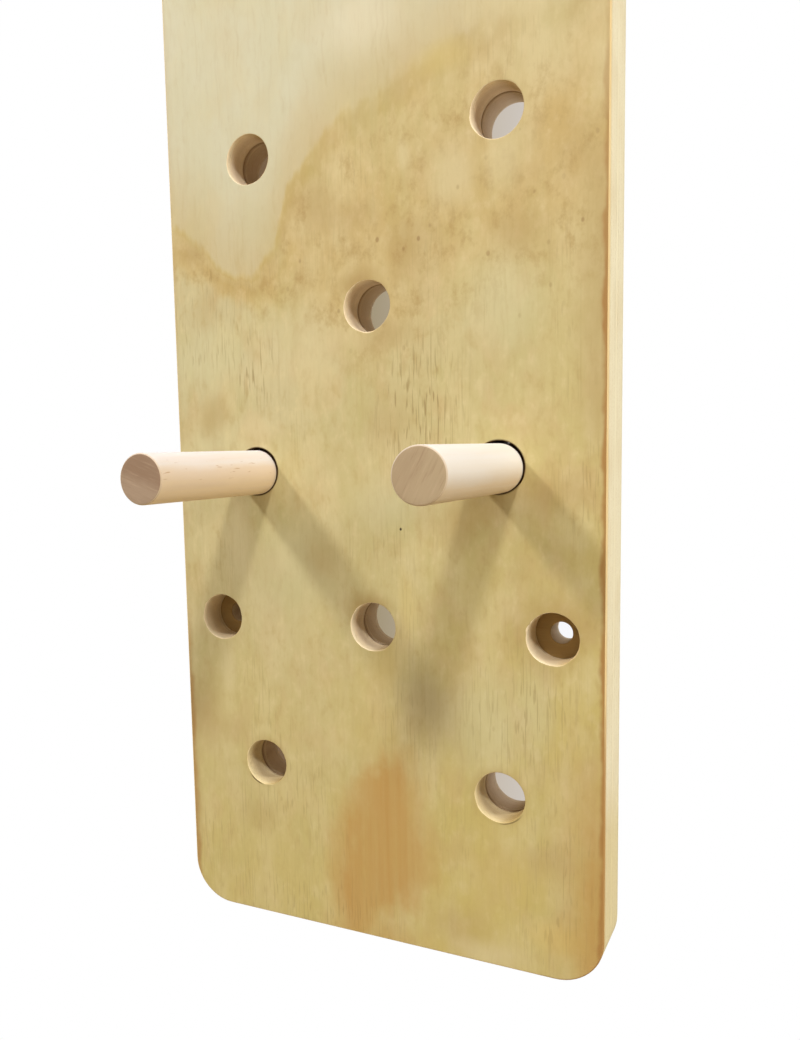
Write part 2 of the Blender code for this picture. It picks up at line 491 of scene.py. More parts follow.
def make_ply(name, sections, front_slot, back_slot):
    """A closed ply. A section is its rings from front to back, with the slot of its strips.

    A flat strip takes the slot of the front or of the back if it lies in it, and else the third slot.
    """
    bm = bmesh.new()
    front_y, back_y = sections[0][0][0][0].y, sections[0][0][-1][0].y
    fronts, backs = [], []
    for rings, wall_slot in sections:
        rows_of_verts = [[bm.verts.new(point) for point in ring] for ring in rings]
        for nearer, further in zip(rows_of_verts, rows_of_verts[1:]):
            slot = wall_slot
            if nearer[0].co.y == further[0].co.y:
                slot = {front_y: front_slot, back_y: back_slot}.get(nearer[0].co.y, FACE)
            for i in range(len(nearer)):
                j = (i + 1) % len(nearer)
                face = bm.faces.new((nearer[i], nearer[j], further[j], further[i]))
                face.material_index = slot
        fronts.append(rows_of_verts[0])
        backs.append(rows_of_verts[-1])
    fill_flat(bm, fronts, front_slot)
    fill_flat(bm, backs, back_slot)
    ply = closed_object(name, bm)
    ply.data.set_sharp_from_angle(angle=SHARP_ANGLE)
    return ply


print(f"material slots of a ply: sawn {SAWN}, drilled {DRILLED}, face {FACE}")

# %% [markdown]
# ## Eased and chipped rims
#
# A drill tears small chips out of the face of softwood, and sandpaper then takes the edge off the
# rest. Both are the same thing to the mesh: the rim of the hole is eased by a few tenths of a
# millimetre, and by more where a chip is gone. The board's own arris is eased evenly. A support ring
# just outside the rim keeps the big flat face shaded as flat.

# %% Rim profiles
RIM_EASE = 0.00025
ARRIS_EASE = 0.0008
JOINT_EASE = 0.0006                     # where the two sheets meet
SUPPORT = 0.0006                        # from a rim to the ring that keeps the face flat
CHIP_SHALLOW, CHIP_DEEP = 0.0001, 0.0006
chance = random.Random(12)


def chipped_eases():
    """How far the rim of one hole is eased at each step, with a few chips."""
    eases = [RIM_EASE * chance.uniform(0.7, 1.3) for _ in range(HOLE_STEPS)]
    for _ in range(chance.randint(3, 6)):
        where, width = chance.uniform(0, HOLE_STEPS), chance.uniform(1.0, 4.0)
        depth = chance.uniform(CHIP_SHALLOW, CHIP_DEEP)
        for step in range(HOLE_STEPS):
            away = abs((step - where + HOLE_STEPS / 2) % HOLE_STEPS - HOLE_STEPS / 2)
            eases[step] += depth * max(0.0, 1 - (away / width) ** 2)
    return eases


def eased_hole(centre, y, inwards, eases):
    """Rings of a hole's rim, from the flat face at y into the wood."""
    support = hole_ring(centre, [HOLE_RADIUS + ease + SUPPORT for ease in eases], y)
    rim = hole_ring(centre, [HOLE_RADIUS + ease for ease in eases], y)
    turned = hole_ring(centre, [HOLE_RADIUS + 0.3 * ease for ease in eases], y)
    wall = hole_ring(centre, HOLE_RADIUS, y)
    for point, ease in zip(turned, eases):
        point.y += inwards * 0.3 * ease
    for point, ease in zip(wall, eases):
        point.y += inwards * ease
    return [support, rim, turned, wall]


def eased_outline(y, inwards, ease):
    """Rings of the board's arris, from the flat face at y into the wood."""
    rings = [outline_ring(ease + SUPPORT, y), outline_ring(ease, y)]
    for angle in (30, 60, 90):
        share = math.radians(angle)
        rings.append(outline_ring(ease * (1 - math.sin(share)), y + inwards * ease * (1 - math.cos(share))))
    return rings


print(f"rims eased by {1000 * RIM_EASE} mm and chipped by up to {1000 * CHIP_DEEP} mm, arris by {1000 * ARRIS_EASE} mm")

# %% [markdown]
# ## Wood for the cut edges
#
# A ply's grain runs one way through its whole thickness, so its wood is a solid texture: noise that is
# drawn out along the grain. Cut along the grain it shows streaks, and cut across it shows the dots of
# the pores, with no extra work. Plies with upright grain and plies with level grain use the same recipe
# with the long side of the noise turned. What differs from edge to edge is laid over it, as colours that
# run along Y, through the board, as patches where the wood is stained or darker, and as painted shade.

# %% Patches and shades
def patch(tree, across, upright, centre, radii, softness):
    """1 in the middle of an oval, fading to 0 at its edge."""
    from_x = calc(tree, "DIVIDE", calc(tree, "SUBTRACT", across, centre[0]), radii[0])
    from_z = calc(tree, "DIVIDE", calc(tree, "SUBTRACT", upright, centre[1]), radii[1])
    squared = calc(tree, "ADD", times(tree, from_x, from_x), times(tree, from_z, from_z))
    return fade(tree, calc(tree, "SQRT", squared), 1.0, 1.0 - softness)


def shade(tree, amount, tone, left):
    """Where amount is 1, only the share left of the tone's red, green and blue stays."""
    return blend(tree, amount, tone, blend(tree, 1.0, tone, left, "MULTIPLY"))


FACE_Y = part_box("front_face_veneer")[0].y
JOINT_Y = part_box("front_inner_veneer")[1].y
print(f"the sheets meet {1000 * (JOINT_Y - FACE_Y):.1f} mm behind the face")

# %% [markdown]
# ## Stains, darker walls and painted shade on the edges
#
# The wall on the right-hand side of every hole, which faces away from the windows, is painted darker as
# painted shade. The walls of the lowest holes are darker, but only in the front sheet. The two holes in use
# are painted dark all through, as painted shade in the gap round each peg. Outside, the board's right side
# has drawn up a stain near the foot, and its arris has turned brown. Each of these is one short function
# that takes a tone and gives it back changed.

# %% Painted shade, darker holes and stained wood
# painted shade on the hole walls that face left, away from the windows
PAINTED_RIGHT_WALL_SHADE = (0.64, 0.54, 0.34, 1.0)
LOW_HOLES_FROM, LOW_HOLES_TO = -0.50, -0.62       # heights between which the holes' walls grow darker
LOW_HOLES_DARKER = (0.88, 0.87, 0.72, 1.0)
LOW_HOLES_BORDER = 0.002                     # how softly the darkening ends at the joint of the sheets
GAP_SHADE_REACH = HOLE_RADIUS + 0.0012           # how far from a peg's axis the painted shade of its gap reaches
# painted shade for the gap between a peg and its hole
PAINTED_GAP_SHADE = rgb(70, 44, 20)
RIGHT_FROM, RIGHT_TO = 0.10, 0.14       # x between which the board's right side starts
SOAKED_FROM, SOAKED_TO = -0.60, -0.65   # heights between which the right side takes on the stain
SOAKED_SHADE = (0.89, 0.84, 0.68, 1.0)
ARRIS_FROM = -0.54                      # height at which the right arris starts to be brown
ARRIS_BROWN = rgb(166, 120, 64)
ARRIS_INNER, ARRIS_OUTER = 0.0014, 0.0007   # depths behind the face between which the brown sets in


# Painted shade: the hole walls that face left are darkened
def painted_right_wall_shade(tree, tone, faces_x, strength):
    return shade(tree, fade(tree, faces_x, 0.3, -0.5, high=strength), tone, PAINTED_RIGHT_WALL_SHADE)


# The front sheet's walls of the lowest holes are made darker
def darker_low_holes(tree, tone, through, upright):
    low_down = fade(tree, upright, LOW_HOLES_FROM, LOW_HOLES_TO)
    in_front = fade(tree, through, JOINT_Y, JOINT_Y - LOW_HOLES_BORDER)
    return shade(tree, times(tree, low_down, in_front), tone, LOW_HOLES_DARKER)


def soaked_side(tree, tone, across, through, upright):
    on_right = fade(tree, across, RIGHT_FROM, RIGHT_TO)
    soaked = times(tree, on_right, fade(tree, upright, SOAKED_FROM, SOAKED_TO))
    tone = shade(tree, soaked, tone, SOAKED_SHADE)
    at_arris = fade(tree, through, FACE_Y + ARRIS_INNER, FACE_Y + ARRIS_OUTER)
    worn = times(tree, at_arris, fade(tree, upright, ARRIS_FROM, SOAKED_FROM, high=0.8))
    return blend(tree, times(tree, worn, on_right), tone, ARRIS_BROWN)


# Painted shade in the gaps round the two pegs: the walls and rims of their holes are painted dark
def painted_gap_shade_round_pegs(tree, tone, across, upright, softness, strength=1.0):
    for centre in held_holes:
        ring = patch(tree, across, upright, centre, (GAP_SHADE_REACH, GAP_SHADE_REACH), softness)
        tone = blend(tree, times(tree, ring, strength), tone, PAINTED_GAP_SHADE)
    return tone


# the dark within this reach is painted shade in the gap round a peg
print(f"rubbed dark within {1000 * GAP_SHADE_REACH:.1f} mm of a peg's axis")

# %% [markdown]
# ## The recipe for a cut edge
#
# A saw leaves cream wood all the way. A drill leaves the front sheet cream, with a browner stretch in its
# middle plies and a paler one before the joint. The joint is a dark line, where glue was drawn out, and
# the back sheet behind it is browner. A counterbore ends on a darker floor. So the recipe takes a list
# of colours along Y, and is called once for each kind of edge.

# %% Ply edge finishes
UPRIGHT_GRAIN = (900.0, 900.0, 45.0)    # blotches to a metre along x, y and z
LEVEL_GRAIN = (45.0, 900.0, 900.0)
EDGE_STREAK = (0.80, 0.72, 0.60, 1.0)   # what a dark streak leaves of the colour
COUNTERBORE_FLOOR = -0.0200
SAWN_STOPS = ((FACE_Y, rgb(234, 208, 152)), (FACE_Y + 0.004, rgb(242, 233, 200)), (0.0, rgb(240, 232, 200)))
DRILLED_STOPS = ((FACE_Y, rgb(250, 233, 198)), (FACE_Y + 0.003, rgb(250, 234, 203)),
                 (FACE_Y + 0.009, rgb(232, 214, 187)), (FACE_Y + 0.013, rgb(228, 210, 182)),
                 (FACE_Y + 0.0165, rgb(244, 227, 200)), (JOINT_Y - 0.0015, rgb(245, 228, 201)),
                 (JOINT_Y - 0.0002, rgb(156, 128, 98)), (JOINT_Y + 0.0025, rgb(218, 199, 172)),
                 (JOINT_Y + 0.007, rgb(218, 199, 172)), (0.0, rgb(234, 217, 193)))
SUNK_STOPS = ((FACE_Y, rgb(250, 236, 204)), (FACE_Y + 0.006, rgb(240, 223, 193)),
              (COUNTERBORE_FLOOR - 0.001, rgb(226, 207, 177)), (COUNTERBORE_FLOOR, rgb(176, 148, 98)),
              (COUNTERBORE_FLOOR + 0.001, rgb(222, 206, 180)), (0.0, rgb(222, 206, 180)))


def edge_wood(name, grain, stops, contrast, sheen=0.25, right_wall_shade=0.0):
    """Wood of a cut edge. The stops are (y, colour), and right_wall_shade is how dark the painted shade on a hole's
    right-hand wall is.
    """
    material, tree, shader = new_material(name)
    coordinates = put(tree, "TexCoord").outputs
    place = coordinates["Object"]
    across, through, upright = axes(tree, place)
    faces_x = axes(tree, coordinates["Normal"])[0]
    streaks = mottle(tree, stretch(tree, place, grain), 1.0, detail=4.0, roughness=0.6)
    patches = mottle(tree, place, 28.0, detail=3.0)
    tone = ramp(tree, through, cad_low.y, cad_high.y, stops)
    streaked = blend(tree, 1.0, tone, EDGE_STREAK, "MULTIPLY")
    tone = blend(tree, times(tree, fade(tree, streaks, 0.35, 0.75), contrast), tone, streaked)
    tone = blend(tree, fade(tree, patches, 0.40, 0.75, high=0.35), tone, streaked)
    # painted shade on the holes' right-hand walls, then darker walls in the lowest holes
    if right_wall_shade:
        tone = darker_low_holes(tree, painted_right_wall_shade(tree, tone, faces_x, right_wall_shade), through, upright)
    else:
        tone = soaked_side(tree, tone, across, through, upright)
    # painted shade in the gaps round the two pegs
    tone = painted_gap_shade_round_pegs(tree, tone, across, upright, softness=0.02)
    dress(tree, shader, tone, 0.8, sheen, raised=streaks, strength=0.25, relief=0.0003)
    return material


upright_sawn = edge_wood("upright_ply_sawn", UPRIGHT_GRAIN, SAWN_STOPS, 0.35)
level_sawn = edge_wood("level_ply_sawn", LEVEL_GRAIN, SAWN_STOPS, 0.60)
upright_drilled = edge_wood("upright_ply_drilled", UPRIGHT_GRAIN, DRILLED_STOPS, 0.30, sheen=0.05, right_wall_shade=0.9)
level_drilled = edge_wood("level_ply_drilled", LEVEL_GRAIN, DRILLED_STOPS, 0.50, sheen=0.05, right_wall_shade=0.9)
sunk = edge_wood("sunk_bolt_hole", LEVEL_GRAIN, SUNK_STOPS, 0.40, sheen=0.05, right_wall_shade=0.7)
print("edge finishes:", upright_sawn.name, level_sawn.name, upright_drilled.name, level_drilled.name, sunk.name)

# %% [markdown]
# ## The figured face
#
# The face ply is peeled off the log like paper off a roll, so the knife runs through the growth rings
# at a low angle and they show as broad tongues: pale on one side of a line, brown on the other, and
# fading from there. Noise alone never gives such a line in the right place. A Float Curve node can:
# it is drawn over the width of the board, and gives the height of the line for each x.

# %% A line drawn across the face
def drawn_line(tree, along, points):
    """A smooth line through points (along, value), as a Float Curve. Gives the value."""
    node = put(tree, "FloatCurve")
    curve = node.mapping.curves[0]
    start, end = points[0][0], points[-1][0]
    low, high = min(value for _, value in points), max(value for _, value in points)
    drawn = [((at - start) / (end - start), (value - low) / (high - low)) for at, value in points]
    curve.points[0].location, curve.points[-1].location = drawn[0], drawn[-1]
    for share, height in drawn[1:-1]:
        curve.points.new(share, height)
    node.mapping.update()
    feed(tree, node.inputs["Value"], fade_linear(tree, along, start, end, 0.0, 1.0))
    return fade_linear(tree, node.outputs["Value"], 0.0, 1.0, low, high)


def pushed_place(tree, place, scale, amount):
    """The place, moved about by noise, so that lines drawn there wander."""
    cloud = put(tree, "TexNoise", {"Vector": stretch(tree, place, (1.0, 1.0, 0.55)), "Scale": scale,
                                   "Detail": 4.0, "Roughness": 0.6}).outputs["Color"]
    around_zero = put(tree, "VectorMath", {0: cloud, 1: (0.5, 0.5, 0.5)}, operation="SUBTRACT")
    push = put(tree, "VectorMath", {0: around_zero.outputs[0], "Scale": amount}, operation="SCALE")
    return put(tree, "VectorMath", {0: place, 1: push.outputs[0]}, operation="ADD").outputs[0]


# The edge of the lower tongue and the end of the brown band below it, as (x, z)
TONGUE_EDGE = ((-0.150, -0.240), (-0.125, -0.261), (-0.0925, -0.283), (-0.075, -0.275), (-0.060, -0.250),
               (-0.050, -0.225), (-0.025, -0.200), (0.015, -0.180), (0.050, -0.165), (0.080, -0.1575),
               (0.150, -0.140))
BAND_END = ((-0.150, -0.272), (-0.0925, -0.302), (-0.050, -0.315), (0.0, -0.335), (0.050, -0.320),
            (0.100, -0.302), (0.150, -0.305))
print(f"tongue edge drawn with {len(TONGUE_EDGE)} points, band end with {len(BAND_END)}")

# %% Where the tongues lie
NEXT_TONGUE = 0.75                      # how much higher the next tongue lies, the other way round
TONGUE_SWITCH = 0.22                    # height in the plain wood between the two


def pick(tree, choice, first, second):
    """The first number where choice is 0, the second where it is 1."""
    node = put(tree, "Mix", data_type="FLOAT")
    feed(tree, node.inputs[0], choice)
    feed(tree, node.inputs[2], first)
    feed(tree, node.inputs[3], second)
    return node.outputs[0]


def tongues(tree, across, upright, raggedness):
    """How far a point lies below the edge of its tongue, and the same as a share of the brown band."""
    turned = times(tree, across, -1.0)
    higher = calc(tree, "GREATER_THAN", upright, TONGUE_SWITCH)
    height = calc(tree, "ADD", upright, raggedness)
    below, width = [], []
    for side, lift in ((across, 0.0), (turned, NEXT_TONGUE)):
        edge = drawn_line(tree, side, TONGUE_EDGE)
        end = drawn_line(tree, side, BAND_END)
        below.append(calc(tree, "SUBTRACT", calc(tree, "ADD", edge, lift), height))
        width.append(calc(tree, "SUBTRACT", edge, end))
    depth = pick(tree, higher, *below)
    return depth, calc(tree, "DIVIDE", depth, pick(tree, higher, *width))


def face_fields(tree):
    """What the layers of the face have in common: places, fibres and how they lie to the tongues."""
    wood = SimpleNamespace(place=own_place(tree))
    wood.exact_x, _, wood.exact_z = axes(tree, wood.place)
    wood.moved = pushed_place(tree, wood.place, 26.0, 0.018)
    wood.across, _, wood.upright = axes(tree, wood.moved)
    wood.fibres = mottle(tree, stretch(tree, wood.place, (150.0, 150.0, 6.0)), 1.0, detail=4.0, roughness=0.6)
    raggedness = fade_linear(tree, wood.fibres, 0.25, 0.75, -0.0035, 0.0035)
    wood.depth, wood.share = tongues(tree, wood.across, wood.upright, raggedness)
    wood.in_band = times(tree, fade(tree, wood.share, 0.02, 0.25), fade(tree, wood.share, 1.35, 0.85))
    return wood


print(f"the next tongue lies {1000 * NEXT_TONGUE:.0f} mm higher")

# %% [markdown]
# ## Pale wood, brown band, plain wood
#
# From a tongue's edge downwards the colours are those of a growth ring: brown at the edge, lighter,
# brown again and then plain. They are a colour ramp over the share of the band. Plain wood is yellower
# towards the foot and the right. Above the edge lies the pale wood, with a thin dark line between.

# %% Tone of the tongues
PALE_LOW, PALE_HIGH = rgb(203, 187, 145), rgb(211, 205, 175)
PLAIN_HIGH, PLAIN_LOW = rgb(204, 191, 146), rgb(201, 182, 113)
BAND_STOPS = ((0.0, rgb(199, 176, 114)), (0.08, rgb(196, 171, 107)), (0.16, rgb(207, 185, 131)),
              (0.30, rgb(207, 184, 130)), (0.44, rgb(200, 173, 114)), (0.75, rgb(204, 180, 123)),
              (1.15, rgb(208, 192, 142)))
EDGE_LINE = rgb(184, 156, 94)


def tongue_tone(tree, wood):
    across, depth = wood.across, wood.depth
    low_board = calc(tree, "ADD", fade_linear(tree, wood.upright, -0.34, -0.72, 0.0, 0.85),
                     fade_linear(tree, across, -0.06, 0.15, 0.0, 0.55))
    plain = blend(tree, low_board, PLAIN_HIGH, PLAIN_LOW)
    band = ramp(tree, wood.share, 0.0, 1.3, BAND_STOPS)
    tone = blend(tree, fade(tree, wood.share, 0.75, 1.25), band, plain)
    pale = blend(tree, fade(tree, depth, 0.0, -0.07), PALE_LOW, PALE_HIGH)
    pale = blend(tree, fade(tree, depth, -0.12, -0.32), pale, PLAIN_HIGH)
    pale_from = fade_linear(tree, across, -0.02, 0.10, 0.002, 0.045)
    pale_to = fade_linear(tree, across, -0.05, 0.10, -0.005, -0.014)
    tone = blend(tree, fade(tree, depth, pale_from, pale_to), tone, pale)
    line = times(tree, fade(tree, depth, -0.003, 0.004), fade(tree, depth, 0.024, 0.008))
    line = times(tree, line, fade_linear(tree, across, 0.03, 0.10, 0.45, 0.12))
    return blend(tree, line, tone, EDGE_LINE)


print(f"{len(BAND_STOPS)} colours down the brown band")

# %% [markdown]
# ## Clouds, smudges and dapples
#
# No stretch of wood has one even colour. Large clouds lie over the plain wood, smudges over the brown
# band, and small dapples over everything but the palest wood. All are noise, pushed through a soft step so
# that they have a shape, and the clouds are broken up by the fibres.

# %% Unevenness of the wood
# Blotches to a metre, how far drawn out along z, shift of the noise, colour and strength
CLOUDS = ((55.0, 0.6, 0.0, rgb(202, 176, 126), 0.60), (34.0, 0.5, 3.0, rgb(190, 178, 116), 0.50),
          (42.0, 0.5, 7.0, rgb(217, 202, 152), 0.55), (17.0, 0.8, 11.0, rgb(204, 190, 146), 0.40))
SMUDGE_DARK, SMUDGE_PALE = rgb(178, 148, 92), rgb(214, 192, 142)
DAPPLE_DARK, DAPPLE_PALE = rgb(180, 152, 94), rgb(224, 208, 160)


def uneven(tree, wood, tone):
    clear = fade(tree, wood.depth, -0.02, 0.02, 0.25, 1.0)
    clear = calc(tree, "SUBTRACT", clear, times(tree, wood.in_band, 0.30))
    clear = times(tree, clear, fade(tree, wood.upright, -0.70, -0.50, 0.6, 1.0))
    streaky = fade_linear(tree, wood.fibres, 0.3, 0.7, 0.55, 1.25)
    for scale, drawn, shift, colour, strength in CLOUDS:
        spot = stretch(tree, wood.place, (1.0, 1.0, drawn), (shift, 0.0, shift))
        cloud = fade(tree, mottle(tree, spot, scale, detail=4.0), 0.44, 0.66, high=strength)
        amount = calc(tree, "MULTIPLY", times(tree, cloud, clear), streaky, clamp=True)
        tone = blend(tree, amount, tone, colour)
    spot = stretch(tree, wood.place, (1.0, 1.0, 0.7), (0.0, 2.0, 0.0))
    smudge = mottle(tree, spot, 75.0, detail=5.0, roughness=0.7)
    spot = stretch(tree, wood.place, (1.0, 1.0, 0.6), (5.0, 0.0, 1.0))
    dapple = mottle(tree, spot, 140.0, detail=3.0, roughness=0.6)
    for noise, start, end, strength, where, colour in ((smudge, 0.48, 0.72, 0.75, wood.in_band, SMUDGE_DARK),
                                                       (smudge, 0.48, 0.30, 0.60, wood.in_band, SMUDGE_PALE),
                                                       (dapple, 0.50, 0.74, 0.34, clear, DAPPLE_DARK),
                                                       (dapple, 0.50, 0.26, 0.34, clear, DAPPLE_PALE)):
        amount = times(tree, fade(tree, noise, start, end, high=strength), where)
        tone = blend(tree, amount, tone, colour)
    return tone


print(f"{len(CLOUDS)} layers of clouds")

# %% [markdown]
# ## Marks with a place of their own
#
# Some marks belong to this board and to no other: lighter and darker areas, and browner wood round holes
# that hands and pegs have used. A few ovals in the table are painted shade and painted light instead, laid
# on the pegs' shadows to darken or lighten them. They are ovals with soft edges, and the noise that pushes
# the place about makes them ragged.

# %% Marks in given places
BROWN, DULL, YELLOW = rgb(172, 142, 86), rgb(184, 160, 108), rgb(203, 180, 108)
CREAM, GREENISH, MILKY = rgb(218, 203, 158), rgb(211, 203, 160), rgb(226, 216, 186)
AMBER, OCHRE, STRAW, RUSTY = rgb(213, 194, 130), rgb(186, 160, 98), rgb(218, 194, 124), rgb(150, 110, 60)
# Colour, centre, radii, softness and strength
MARKS = (
    (GREENISH, (-0.122, -0.334), (0.042, 0.030), 0.8, 0.65),
    (CREAM, (-0.050, -0.335), (0.045, 0.035), 0.8, 0.45),
    (GREENISH, (-0.125, -0.400), (0.030, 0.030), 0.9, 0.40),
    (DULL, (-0.120, -0.376), (0.018, 0.022), 0.9, 0.65),
    (DULL, (-0.122, -0.302), (0.016, 0.022), 0.9, 0.35),
    (CREAM, (-0.084, -0.382), (0.020, 0.014), 0.9, 0.50),
    (BROWN, (-0.0925, -0.355), (0.0022, 0.014), 0.7, 0.55),
    (BROWN, (-0.135, -0.264), (0.020, 0.012), 0.9, 0.35),
    (GREENISH, (0.090, -0.318), (0.034, 0.042), 0.9, 0.55),
    (DULL, (0.014, -0.384), (0.026, 0.028), 0.9, 0.45),
    (GREENISH, (0.012, -0.437), (0.042, 0.028), 0.9, 0.60),
    (GREENISH, (-0.060, -0.480), (0.060, 0.050), 0.8, 0.45),
    # painted light: lightens the lower edge of the left peg's left-hand shadow
    (CREAM, (-0.116, -0.553), (0.013, 0.030), 0.9, 0.50),
    (YELLOW, (0.000, -0.585), (0.026, 0.045), 0.9, 0.30),
    (AMBER, (0.022, -0.500), (0.011, 0.032), 0.9, 0.50),
    (GREENISH, (0.078, -0.575), (0.040, 0.056), 0.9, 0.55),
    # painted shade under the right peg, over some brown smudging
    (BROWN, (0.074, -0.437), (0.028, 0.022), 0.9, 0.40),
    (CREAM, (0.028, -0.222), (0.007, 0.016), 0.8, 0.35),
    (CREAM, (0.108, -0.180), (0.045, 0.034), 0.9, 0.35),
    (CREAM, (0.090, -0.240), (0.014, 0.022), 0.9, 0.35),
    (BROWN, (-0.010, -0.255), (0.022, 0.016), 0.9, 0.30),
    (BROWN, (0.135, -0.235), (0.022, 0.030), 0.9, 0.25),
    (BROWN, (-0.034, -0.243), (0.024, 0.028), 0.9, 0.40),
    (BROWN, (0.026, -0.282), (0.020, 0.032), 0.9, 0.35),
    (DULL, (0.014, -0.330), (0.026, 0.016), 0.9, 0.55),
    (CREAM, (0.058, -0.238), (0.024, 0.030), 0.9, 0.65),
    (YELLOW, (0.050, -0.172), (0.030, 0.014), 0.9, 0.50),
    (DULL, (0.148, -0.265), (0.026, 0.040), 0.9, 0.45),
    (DULL, (0.148, -0.330), (0.026, 0.100), 0.9, 0.60),
    (DULL, (-0.152, -0.640), (0.014, 0.120), 0.9, 0.60),
    (GREENISH, (0.109, -0.560), (0.018, 0.050), 0.9, 0.45),
    (YELLOW, (0.008, -0.540), (0.016, 0.032), 0.9, 0.50),
    # painted shadow: draws the left peg's left-hand shadow further down
    (DULL, (-0.136, -0.590), (0.024, 0.042), 0.9, 0.50),
    # painted shade in the right peg's right-hand shadow
    (BROWN, (0.112, -0.462), (0.036, 0.036), 0.9, 0.15),
    (OCHRE, (-0.034, -0.472), (0.028, 0.024), 0.9, 0.32),
    (CREAM, (0.095, -0.228), (0.028, 0.032), 0.9, 0.45),
    (MILKY, (0.000, -0.140), (0.042, 0.032), 0.9, 0.60),
    (CREAM, (0.088, -0.726), (0.026, 0.020), 0.9, 0.50),
    # painted light: lightens the left peg's left-hand shadow
    (CREAM, (-0.102, -0.462), (0.018, 0.050), 0.9, 0.75),
    (DULL, (0.148, -0.385), (0.022, 0.040), 0.9, 0.40),
    (YELLOW, (0.100, -0.670), (0.040, 0.026), 0.9, 0.40),
    (BROWN, (0.060, -0.712), (0.030, 0.022), 0.9, 0.28),
    (BROWN, (0.1185, -0.5150), (0.034, 0.034), 0.6, 0.42),
    # painted shade in the right peg's right-hand shadow near its root, over some brown staining
    (BROWN, (0.123, -0.430), (0.032, 0.020), 0.9, 0.45),
    # painted shade on the edge of the right peg's left-hand shadow
    (BROWN, (0.059, -0.451), (0.018, 0.026), 0.9, 0.45),
    (BROWN, (0.098, -0.277), (0.026, 0.022), 0.9, 0.40),
    (BROWN, (0.119, -0.657), (0.022, 0.018), 0.9, 0.35),
    (BROWN, (0.037, -0.272), (0.022, 0.016), 0.9, 0.25),
    (BROWN, (-0.0855, -0.621), (0.022, 0.022), 0.4, 0.35),
    (BROWN, (0.0855, -0.621), (0.022, 0.022), 0.4, 0.38),
    (BROWN, (-0.092, -0.662), (0.022, 0.018), 0.9, 0.30),
    (BROWN, (-0.114, -0.599), (0.022, 0.018), 0.9, 0.25),
    (CREAM, (0.105, -0.144), (0.060, 0.022), 0.9, 0.70),
    (CREAM, (0.146, -0.200), (0.012, 0.032), 0.9, 0.45),
    (CREAM, (0.071, -0.726), (0.022, 0.014), 0.9, 0.50),
    (STRAW, (0.122, -0.706), (0.024, 0.016), 0.9, 0.60),
    # painted light where the shadows of the two pegs cross
    (CREAM, (0.034, -0.563), (0.022, 0.024), 0.9, 0.50),
    (CREAM, (-0.092, -0.348), (0.018, 0.016), 0.9, 0.35),
    (CREAM, (-0.142, -0.525), (0.014, 0.024), 0.9, 0.40),
    (GREENISH, (-0.146, -0.344), (0.014, 0.026), 0.9, 0.55),
    (RUSTY, (0.152, -0.655), (0.008, 0.065), 0.9, 0.70),
)
RUB_SHIFT, RUB_RADII = (-0.004, 0.014), (0.022, 0.015)   # worn wood above a hole in the middle column


# The board's own marks, with the painted shade and painted light on the pegs' shadows among them
def board_marks_and_painted_shadows(tree, wood, tone):
    marks = list(MARKS)
    for x, z in peg_holes:
        if abs(x) < HOLE_RADIUS:
            marks.append((BROWN, (x + RUB_SHIFT[0], z + RUB_SHIFT[1]), RUB_RADII, 0.9, 0.70))
    for colour, centre, radii, softness, strength in marks:
        mark = patch(tree, wood.across, wood.upright, centre, radii, softness)
        tone = blend(tree, times(tree, mark, strength), tone, colour)
    return tone


print(f"{len(MARKS)} marks")

# %% [markdown]
# ## The stain at the foot and the brown arrises
#
# Wood that stands near a wet floor draws up water, and the water leaves a reddish stain with a ragged
# border. Its two borders are drawn lines again, this time over the height, in a place that noise pushes
# far about. The arrises are brown where hands and weather have been at them.

# %% Stain and arrises
STAIN = rgb(189, 149, 84)
# Borders of the stain, as (z, x)
STAIN_LEFT = ((-0.733, -0.034), (-0.700, -0.036), (-0.660, -0.032), (-0.630, -0.024), (-0.610, 0.000), (-0.585, 0.014))
STAIN_RIGHT = ((-0.733, 0.004), (-0.715, 0.016), (-0.695, 0.038), (-0.670, 0.050), (-0.645, 0.046), (-0.625, 0.042),
               (-0.610, 0.032), (-0.585, 0.014))
FOOT_CENTRE, FOOT_RADII = (0.0, -0.740), (0.050, 0.040)
# x between which the brown of an arris sets in
RIGHT_ARRIS = (cad_high.x - 0.0045, cad_high.x - 0.0012)
LEFT_ARRIS = (cad_low.x + 0.0060, cad_low.x + 0.0010)
ARRIS_WAVE = 0.0016


def soaked_foot(tree, wood, tone):
    soaked_x, _, soaked_z = axes(tree, pushed_place(tree, wood.place, 38.0, 0.044))
    from_left = calc(tree, "SUBTRACT", soaked_x, drawn_line(tree, soaked_z, STAIN_LEFT))
    from_right = calc(tree, "SUBTRACT", drawn_line(tree, soaked_z, STAIN_RIGHT), soaked_x)
    stain = times(tree, fade(tree, from_left, -0.010, 0.020), fade(tree, from_right, -0.006, 0.028))
    corner = times(tree, fade(tree, soaked_x, 0.112, 0.150), fade(tree, soaked_z, -0.56, -0.66))
    foot = times(tree, patch(tree, soaked_x, soaked_z, FOOT_CENTRE, FOOT_RADII, 0.9), 0.7)
    stain = calc(tree, "MAXIMUM", calc(tree, "MAXIMUM", stain, corner), foot)
    stain = times(tree, stain, fade_linear(tree, wood.fibres, 0.3, 0.7, 0.66, 0.98))
    return blend(tree, stain, tone, STAIN)


